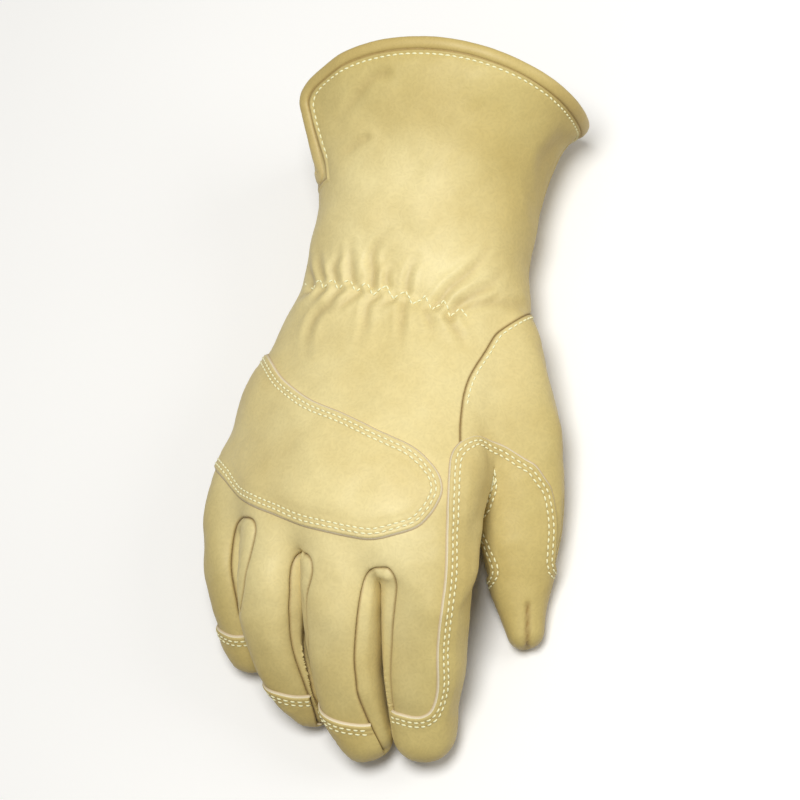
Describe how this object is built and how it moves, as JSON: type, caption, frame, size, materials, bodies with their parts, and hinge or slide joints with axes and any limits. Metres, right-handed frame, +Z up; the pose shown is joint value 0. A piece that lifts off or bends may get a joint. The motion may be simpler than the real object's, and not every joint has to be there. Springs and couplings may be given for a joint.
{
  "type": "leather work glove",
  "caption": "Right-hand leather gauntlet work glove lying palm down: flared bound cuff, gathered wrist, sewn-on knuckle strap, thumb saddle and fingertip caps.",
  "frame": {"origin": "centre of the bounding box's footprint, on the surface that the glove lies on", "axes": "+Y from the fingertips to the cuff, +X towards the thumb side, +Z up through the back of the hand"},
  "size_m": [0.1655, 0.279, 0.0837],
  "materials": {
    "grain_leather": "smooth pale tan grain leather with soft creases",
    "patch_leather": "the same leather sewn on top, with pale raw cut edges",
    "binding_leather": "thin leather rolled over the edge",
    "thread": "pale cream sewing thread",
    "inner_lining": "matt brushed inside face of the leather"
  },
  "bodies": {
    "root": {"back_panel": "grain_leather", "thumb_panel": "grain_leather", "palm_panel": "grain_leather", "cuff_palm_panel": "grain_leather", "thumb_palm_panel": "grain_leather", "fourchette_index_middle": "grain_leather", "fourchette_middle_ring": "grain_leather", "fourchette_ring_little": "grain_leather", "knuckle_strap": "patch_leather", "thumb_saddle": "patch_leather", "fingertip_cap_middle": "patch_leather", "fingertip_cap_ring": "patch_leather", "fingertip_cap_little": "patch_leather", "rim_binding": "binding_leather"}
  },
  "joints": []
}
